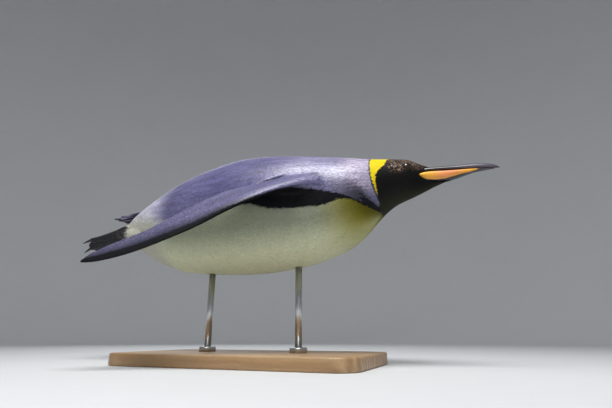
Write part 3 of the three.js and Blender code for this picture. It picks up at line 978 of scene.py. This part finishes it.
skinMesh.materials.append(skinMaterial)
skinMesh.materials.append(footMaterial)
cornerPoint = readRows(skinMesh.loops, "vertex_index", 1, int)[:, 0]
starts = readRows(skinMesh.polygons, "loop_start", 1, int)[:, 0]
faceLabels = labels[cornerPoint[starts]]
onFoot = (faceLabels >= footRight) & (faceLabels <= footLeft)
skinMesh.polygons.foreach_set("material_index", onFoot.astype(int))
skinMesh.shade_smooth()
skin = linkMesh("skin", skinMesh)
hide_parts("trunk", "neck", "head", "flipper_right", "flipper_left", "leg_right", "leg_left",
            "foot_right", "foot_left")

coatSplit = {"upper": -12, "trunk": 150, "head": 216, "half": -60}   # an angle, then places along the axis
local = birdPlaces(roots["place"])
part = roots["part"]
isBody = part == bodyPart
upper = angleOf(local) > coatSplit["upper"]
onTrunk = isBody & (local[:, 0] < coatSplit["trunk"])
onHead = isBody & (local[:, 0] > coatSplit["head"])
front = local[:, 0] >= coatSplit["half"]
bodyCoat = [coatMaterial, bellyMaterial, blackMaterial]
coatPiece("coat_back_front", onTrunk & upper & front, bodyCoat)
coatPiece("coat_back_rear", onTrunk & upper & ~front, bodyCoat)
coatPiece("coat_belly_front", onTrunk & ~upper & front, bodyCoat)
coatPiece("coat_belly_rear", onTrunk & ~upper & ~front, bodyCoat)
coatPiece("coat_neck", isBody & ~onTrunk & ~onHead, bodyCoat)
coatPiece("coat_hood", onHead, [hoodMaterial])
flipperCoat = [flipperMaterial, bellyMaterial, blackMaterial]
coatPiece("coat_flipper_right", part == flipperRight, flipperCoat, flipperRight)
coatPiece("coat_flipper_left", part == flipperLeft, flipperCoat, flipperLeft)
coatPiece("coat_legs", (part == legRight) | (part == legLeft), [coatMaterial])
coatPiece("coat_rump", part == tailPart, [coatMaterial])
coatPiece("foot_scales", (part == footRight) | (part == footLeft), [footMaterial])

# bill, claws: smooth pieces from their solids
hornPlan = {"billVoxel": 0.0006, "clawVoxel": 0.0004, "clawSeat": 0.0026, "wedgeInset": 0.0009,
            "wedgeRear": 0.306, "wedgeTop": 0.2920, "claw": (0.014, 0.012, 0.012)}
billPaint = {  # places from the bird's own origin in millimetres
    "plateLow": [(278, 16), (281, 9.0), (285, 4.0), (292, 1.3), (308, -0.5), (322, 0.3), (336, 2.8),
                 (347, 5.2), (357, 6.6), (369, 8.8), (376, 12)],
    "plate": [(280, (0.88, 0.42, 0.012)), (296, (0.90, 0.40, 0.020)), (318, (0.80, 0.28, 0.085)),
              (338, (0.76, 0.25, 0.070)), (354, (0.86, 0.36, 0.014)), (368, (0.82, 0.38, 0.010))],
    "horn": [(278, (0.003, 0.003, 0.003)), (312, (0.004, 0.003, 0.004)), (332, (0.020, 0.017, 0.022)),
             (352, (0.055, 0.045, 0.065)), (385, (0.090, 0.075, 0.105)), (403, (0.050, 0.042, 0.055))],
    "warm": (0.86, 0.38, 0.012),           # along the plate's low edge
}


def colourTable(value, rows):
    places = [r[0] for r in rows]
    return np.stack([np.interp(value, places, [r[1][k] for r in rows]) for k in range(3)], axis=1)


def billColours(mesh, hasPlate):
    x, y, z = birdPlaces(readPoints(mesh)).T
    normals = readNormals(mesh)
    colours = colourTable(x, billPaint["horn"])
    if not hasPlate:
        return colours
    outward = normals[:, 1] * np.sign(y)
    colours *= 0.35
    edge = table(x, billPaint["plateLow"])
    plate = smoothStep(edge - 0.35, edge + 0.35, z) * smoothStep(0.1, 0.25, outward) * smoothStep(374, 366, x)
    lit = colourTable(x, billPaint["plate"])
    lit = mixed(lit, billPaint["warm"], 0.7 * smoothStep(3.5, 0.5, z - edge))
    return mixed(colours, lit, plate)


def chinWedge():
    # the front of the chin, which closes the bill's underside
    bm = mergedNode("head")
    rear, top = (hornPlan["wedgeRear"], 0, 0), (0, 0, hornPlan["wedgeTop"])
    for place, way in ((rear, (-1, 0, 0)), (top, (0, 0, 1))):
        bmesh.ops.bisect_plane(bm, geom=bm.verts[:] + bm.edges[:] + bm.faces[:], plane_co=place, plane_no=way,
                               clear_outer=True)
        bmesh.ops.holes_fill(bm, edges=[e for e in bm.edges if e.is_boundary], sides=0)
    bmesh.ops.recalc_face_normals(bm, faces=bm.faces)
    bm.normal_update()
    for v in bm.verts:
        v.co -= v.normal * hornPlan["wedgeInset"]
    return meshFrom(bm, "chinWedge")


def paintChin(mesh):
    # what lies outside the bill's own solid is chin, black and dull as the hood
    writeColours(mesh, "plumage", np.tile(tones["hood"], (len(mesh.vertices), 1)))
    mesh.materials.append(hoodMaterial)
    billTree = BVHTree.FromBMesh(mergedNode("bill_lower"))
    for face in mesh.polygons:
        place, normal, _, away = billTree.find_nearest(face.center)
        face.material_index = int(away > 0.0004 and (face.center - place).dot(normal) > 0)


def polished(name, voxel, passes, extra=None):
    bm = squared(mergedNode(name))
    if extra:
        bm.from_mesh(extra)
    source = linkMesh(name + "Source", meshFrom(bm, name), None)
    addFuse(source, voxel)
    addSmooth(source, "Even", passes)
    mesh = baked(source, name)
    mesh.shade_smooth()
    return mesh


def rampNode(n, stops):
    ramp = n.new("ShaderNodeValToRGB")
    while len(ramp.color_ramp.elements) < len(stops):
        ramp.color_ramp.elements.new(0.5)
    for element, (place, colour) in zip(ramp.color_ramp.elements, stops):
        element.position, element.color = place, (*colour, 1)
    return ramp


def hornMaterial(name, grain, unevenness, coat):
    # colour from the piece's own attribute, worn and finely streaked
    made = newMaterial(name, **{"Coat Weight": coat, "Coat Roughness": 0.16})
    return finished(made, attributeColour(made[1], "horn"), grain, unevenness, (0.26, 0.42), (0.18, 0.0003))


billHorn = hornMaterial("billHorn", 140, 0.6, 0.25)
billPlate = hornMaterial("billPlate", 110, 0.25, 0.30)
billHalves = (("bill_upper", billHorn, "bill_horn"), ("bill_lower", billPlate, "bill_plate"))
for name, material, slotName in billHalves:
    mesh = polished(name, hornPlan["billVoxel"], 3, chinWedge() if name == "bill_lower" else None)
    writeColours(mesh, "horn", billColours(mesh, name == "bill_lower"))
    mesh.materials.append(material)
    if name == "bill_lower":
        paintChin(mesh)
    piece = linkMesh(name + "_horn", mesh)
    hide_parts(name)
clawHorn = hornMaterial("clawHorn", 160, 0.5, 0.2)


def seatClaw(mesh):
    places = readPoints(mesh)
    root = places[places[:, 0] > places[:, 0].max() - 0.003].mean(axis=0)
    tip = places[np.argmin(places[:, 0])]
    way = unit(tip - root)
    along = (places - root) @ way / np.linalg.norm(tip - root)
    places -= way * (hornPlan["clawSeat"] * smoothStep(0.35, 0.0, along))[:, None]
    mesh.vertices.foreach_set("co", places.ravel())
    mesh.update()


for sideName, side in sides:
    for toe in ("inner", "middle", "outer"):
        name = f"claw_{sideName}_{toe}"
        mesh = polished(name, hornPlan["clawVoxel"], 2)
        seatClaw(mesh)
        writeColours(mesh, "horn", np.tile(hornPlan["claw"], (len(mesh.vertices), 1)))
        mesh.materials.append(clawHorn)
        piece = linkMesh(name + "_horn", mesh)
        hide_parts(name)
print("bill and claws made")


# eyes
irisStops = [
    (0, (0.002, 0.002, 0.002)), (0.135, (0.002, 0.002, 0.002)), (0.155, (0.030, 0.012, 0.005)),
    (0.26, (0.050, 0.020, 0.008)), (0.31, (0.012, 0.005, 0.003)), (1, (0.006, 0.005, 0.005)),
]


def eyeMaterial():
    made = newMaterial("eyeball", **{"Coat Weight": 1.0, "Coat Roughness": 0.02, "Coat IOR": 1.38})
    _, n, l, _ = made
    ring = n.new("ShaderNodeAttribute")
    ring.attribute_name = "ring"
    ramp = rampNode(n, irisStops)
    l.new(ring.outputs["Fac"], ramp.inputs["Fac"])
    return finished(made, ramp.outputs["Color"], 900, 0.7, (0.14, 0.22))


def lidMaterial():
    made = newMaterial("lidSkin", **{"Specular IOR Level": 0.2})
    return finished(made, plainColour(made[1], (0.009, 0.007, 0.006)), 700, 0.8, (0.4, 0.6), (0.5, 0.0002))


def lidRim(side):
    bm = bmesh.new()
    radius = eyePlan["ball"] + 0.4 * eyePlan["rim"]
    opening = math.radians(eyePlan["opening"])
    tube = bmesh.ops.create_circle(bm, segments=12, radius=eyePlan["rim"])["verts"]
    bmesh.ops.rotate(bm, verts=tube, cent=(0, 0, 0), matrix=Matrix.Rotation(math.pi / 2, 3, "X"))
    bmesh.ops.translate(bm, verts=tube, vec=(radius * math.sin(opening), 0, 0))
    bmesh.ops.spin(bm, geom=bm.verts[:] + bm.edges[:], cent=(0, 0, 0), axis=(0, 0, 1), angle=2 * math.pi,
                   steps=56, use_merge=True)
    centre, aim = eyeFrame(side)
    level = Vector((0, 0, 1)).cross(aim).normalized()
    turn = Matrix((level, aim.cross(level), aim)).transposed().to_4x4()
    stretch = Matrix.Diagonal((*eyePlan["stretch"], 1, 1))
    bmesh.ops.transform(bm, matrix=stretch, verts=bm.verts)
    for v in bm.verts:                                  # back on to the eyeball after the stretch
        ring = math.hypot(v.co.x, v.co.y)
        v.co.z += math.sqrt(max(radius ** 2 - min(ring, radius) ** 2, 0))
    bmesh.ops.transform(bm, matrix=Matrix.Translation(centre) @ turn, verts=bm.verts)
    bmesh.ops.recalc_face_normals(bm, faces=bm.faces)
    return meshFrom(bm, "lid")


irisMaterial = eyeMaterial()
lidFinish = lidMaterial()
for sideName, side in sides:
    centre, aim = eyeFrame(side)
    bm = bmesh.new()
    bmesh.ops.create_uvsphere(bm, u_segments=48, v_segments=32, radius=eyePlan["ball"])
    turn = aim.to_track_quat("Z", "Y").to_matrix().to_4x4()
    bmesh.ops.transform(bm, verts=bm.verts, matrix=Matrix.Translation(centre) @ turn)
    mesh = meshFrom(bm, f"eye_{sideName}_ball")
    turned = unit(readPoints(mesh) - np.array(centre)) @ np.array(aim)
    ring = np.arccos(turned.clip(-1, 1)) / math.pi * 2
    mesh.attributes.new("ring", "FLOAT", "POINT").data.foreach_set("value", ring)
    ball = smoothPiece(f"eye_{sideName}_ball", mesh, irisMaterial)
    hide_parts(f"eye_{sideName}")
    lid = lidRim(side)
    lid.shade_smooth()
    lid.materials.append(lidFinish)
    linkMesh(f"lid_{sideName}", lid)
print("eyes made")

# tail: stiff quills in a fan
tailPlan = {  # rows of quills: how many, root x and z, length in the middle and at the side, width, pitch
    "rows": [(9, -0.262, 0.2810, 0.060, 0.040, 0.0110, -10.0),
             (13, -0.262, 0.2885, 0.083, 0.055, 0.0100, -6.5),
             (15, -0.260, 0.2945, 0.099, 0.064, 0.0095, -5.0),
             (13, -0.252, 0.2995, 0.088, 0.062, 0.0100, -4.0),
             (9, -0.248, 0.3035, 0.072, 0.052, 0.0110, -3.5)],
    "spread": 6.0, "roof": 24.0, "halfWidth": 0.024, "droop": 0.006, "thickness": 0.0006,
    "shaft": (0.120, 0.110, 0.170), "vane": (0.090, 0.084, 0.148), "pale": (0.300, 0.278, 0.425),
    "edge": (0.006, 0.006, 0.010), "tip": (0.420, 0.330, 0.360),
}


def quill(share, row, plan):
    _, rootX, rootZ, middle, side, width, pitch = row
    length = (middle + (side - middle) * abs(share) ** 1.5) * (1 + 0.045 * rng.standard_normal())
    blade = bmesh.new()
    bmesh.ops.create_grid(blade, x_segments=18, y_segments=6, size=0.5)
    tone = rng.random()
    layer = blade.verts.layers.float_color.new("plumage")
    for v in blade.verts:
        along, across = v.co.x + 0.5, abs(v.co.y * 2)
        taper = math.sqrt(max(0, 1 - max(0, (along - 0.35) / 0.65) ** 2.0))
        wide = width * min(1, 0.45 + 1.6 * along) * taper / 2
        lift = 0.0007 * (1 - across) ** 2 - 0.0016 * across ** 2 * along
        colour = np.array(plan["vane"]) + (np.array(plan["pale"]) - plan["vane"]) * tone ** 1.6 * (1 - across)
        colour += (np.array(plan["shaft"]) - colour) * float(across < 0.1) * 0.6
        colour += (np.array(plan["edge"]) - colour) * max(0.0, (across - 0.55) / 0.45) * 0.9
        colour += (np.array(plan["tip"]) - colour) * max(0.0, (along - 0.93) / 0.07) * 0.6 * tone
        v[layer] = (*colour, 1)
        v.co = Vector((-along * length, v.co.y * 2 * wide, lift - 0.004 * along ** 2))
    bmesh.ops.solidify(blade, geom=blade.faces[:], thickness=plan["thickness"])
    place = Matrix.Translation((rootX, plan["halfWidth"] * share, rootZ - plan["droop"] * share ** 2
                                + 0.0005 * rng.standard_normal()))
    turn = Matrix.Rotation(math.radians(plan["spread"] * share), 4, "Z")
    roof = Matrix.Rotation(math.radians(-plan["roof"] * share), 4, "X")
    dip = Matrix.Rotation(math.radians(-pitch), 4, "Y")
    bmesh.ops.transform(blade, matrix=place @ turn @ roof @ dip, verts=blade.verts)
    bmesh.ops.recalc_face_normals(blade, faces=blade.faces)
    return blade


def quillMesh(plan):
    bm = bmesh.new()
    for row in plan["rows"]:
        for i in range(row[0]):
            piece = meshFrom(quill(2 * i / (row[0] - 1) - 1, row, plan), "quill")
            bm.from_mesh(piece)
            bpy.data.meshes.remove(piece)
    return meshFrom(bm, "tail_quills")


tailMesh = quillMesh(tailPlan)
tailMesh.materials.append(featherMaterial("tailQuill"))
tail = linkMesh("tail_quills", tailMesh)
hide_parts("tail")

# display stand
standPlan = {
    "corner": 0.036, "edge": 0.003, "rod": 0.006,
    "ferrule": (0.015, 0.009, 0.003),      # radius, height, rounding of the upper edge
    "oak": [(0, (0.35, 0.205, 0.095)), (0.5, (0.41, 0.255, 0.125)), (1, (0.47, 0.305, 0.16))],
    "steel": (0.56, 0.57, 0.58),
}


def oakMaterial():
    made = newMaterial("standOak", **{"Coat Weight": 0.12, "Coat Roughness": 0.3})
    _, n, l, _ = made
    where = n.new("ShaderNodeTexCoord")
    stretch = n.new("ShaderNodeMapping")
    stretch.inputs["Scale"].default_value = (1.4, 16, 16)
    l.new(where.outputs["Object"], stretch.inputs["Vector"])
    wave = n.new("ShaderNodeTexWave")
    wave.bands_direction = "Y"
    wave.inputs["Scale"].default_value = 1.3
    wave.inputs["Distortion"].default_value = 10
    wave.inputs["Detail"].default_value = 3
    l.new(stretch.outputs[0], wave.inputs["Vector"])
    ramp = rampNode(n, standPlan["oak"])
    l.new(wave.outputs["Fac"], ramp.inputs["Fac"])
    return finished(made, ramp.outputs["Color"], 9, 0.5, (0.34, 0.52), (0.15, 0.0003), stretch.outputs[0])


def steelMaterial():
    made = newMaterial("standSteel", **{"Metallic": 1.0})
    return finished(made, plainColour(made[1], standPlan["steel"]), 220, 0.12, (0.24, 0.38))


def bevelled(bm, edges, offset, segments):
    bmesh.ops.bevel(bm, geom=edges, offset=offset, segments=segments, profile=0.5, affect="EDGES",
                    material=-1)


def cylinder(radius, height, middle, segments):
    bm = bmesh.new()
    bmesh.ops.create_cone(bm, cap_ends=True, segments=segments, radius1=radius, radius2=radius, depth=height)
    bmesh.ops.translate(bm, verts=bm.verts, vec=middle)
    return bm


low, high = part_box("stand_base")
bm = bmesh.new()
bmesh.ops.create_cube(bm, size=1)
toSize = Matrix.Translation((low + high) / 2) @ Matrix.Diagonal((*(high - low), 1))
bmesh.ops.transform(bm, verts=bm.verts, matrix=toSize)
upright = [e for e in bm.edges if abs(e.verts[0].co.z - e.verts[1].co.z) > 0.01]
bevelled(bm, upright, standPlan["corner"], 14)
rim = [e for e in bm.edges if abs(e.verts[0].co.z - e.verts[1].co.z) < 1e-5]
bevelled(bm, rim, standPlan["edge"], 3)
slab = smoothPiece("stand_slab", meshFrom(bm, "stand_slab"), oakMaterial())
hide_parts("stand_base")
steel = steelMaterial()
for end in ("front", "rear"):
    low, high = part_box(f"stand_rod_{end}")
    bm = cylinder(standPlan["rod"], high.z - low.z, (low + high) / 2, 40)
    post = smoothPiece(f"stand_post_{end}", meshFrom(bm, f"stand_post_{end}"), steel)
    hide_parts(f"stand_rod_{end}")
    low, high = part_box(f"stand_ferrule_{end}")
    radius, height, edge = standPlan["ferrule"]
    bm = cylinder(radius, height, ((low.x + high.x) / 2, 0, low.z + height / 2), 48)
    bevelled(bm, [e for e in bm.edges if all(v.co.z > high.z - 1e-4 for v in e.verts)], edge, 4)
    collar = smoothPiece(f"stand_collar_{end}", meshFrom(bm, f"stand_collar_{end}"), steel)
    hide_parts(f"stand_ferrule_{end}")
print("stand made")

# floor, light and camera
studio = {"floorRadius": 2.2, "wallRadius": 3.0, "wallHeight": 5.0, "bendSteps": 14,
          "paper": (0.70, 0.71, 0.72), "air": (0.88, 0.90, 0.93, 1), "airStrength": 0.38}


def studioFloor():
    bm = bmesh.new()
    flat, wall = studio["floorRadius"], studio["wallRadius"]
    bend = wall - flat
    profile = [(0.0, 0.0), (flat, 0.0)]
    turns = np.linspace(0, math.pi / 2, studio["bendSteps"])[1:]
    profile += [(flat + bend * math.sin(a), bend * (1 - math.cos(a))) for a in turns]
    profile.append((wall, studio["wallHeight"]))
    verts = [bm.verts.new((r, 0, z)) for r, z in profile]
    for a, b in zip(verts, verts[1:]):
        bm.edges.new((a, b))
    bmesh.ops.spin(bm, geom=bm.verts[:] + bm.edges[:], cent=(0, 0, 0), axis=(0, 0, 1), angle=2 * math.pi,
                   steps=64, use_merge=True)
    bmesh.ops.remove_doubles(bm, verts=bm.verts, dist=1e-5)
    bmesh.ops.recalc_face_normals(bm, faces=bm.faces)
    mesh = meshFrom(bm, "floor")
    mesh.shade_smooth()
    made = newMaterial("floorPaper")
    mesh.materials.append(finished(made, plainColour(made[1], studio["paper"]), 3, 0.04, (0.7, 0.85)))
    thing = linkMesh("floor", mesh, None)


def areaLight(name, place, target, size, power, colour):
    data = bpy.data.lights.new(name, "AREA")
    data.shape, data.size, data.energy, data.color = "DISK", size, power, colour
    lamp = bpy.data.objects.new(name, data)
    lamp.location = place
    lamp.rotation_euler = (Vector(target) - Vector(place)).to_track_quat("-Z", "Y").to_euler()
    bpy.context.scene.collection.objects.link(lamp)


lamps = {  # place, target, size, power, colour
    "keyLight": ((0.24, -0.62, 1.36), (0.05, 0, 0.30), 0.7, 22, (1.0, 1.0, 1.0)),
    "fillLight": ((0.9, -1.8, 0.5), (0.05, 0, 0.28), 1.6, 1.5, (0.95, 0.98, 1.0)),
    "rimLight": ((-0.9, 1.1, 1.2), (0.0, 0, 0.30), 1.0, 6, (0.95, 0.97, 1.0)),
}

studioFloor()
for name, values in lamps.items():
    areaLight(name, *values)

world = bpy.data.worlds.new("studio")
world.use_nodes = True
world.node_tree.nodes["Background"].inputs["Color"].default_value = studio["air"]
world.node_tree.nodes["Background"].inputs["Strength"].default_value = studio["airStrength"]
bpy.context.scene.world = world
bpy.context.scene.view_settings.view_transform = "Standard"

cameraData = bpy.data.cameras.new("camera")
cameraData.lens, cameraData.sensor_width = 24, 36
camera = bpy.data.objects.new("camera", cameraData)
camera.location = (0.372, -0.664, 0.046)
camera.rotation_euler = (math.radians(108), 0, math.radians(22))
bpy.context.scene.collection.objects.link(camera)
bpy.context.scene.camera = camera

print("done")
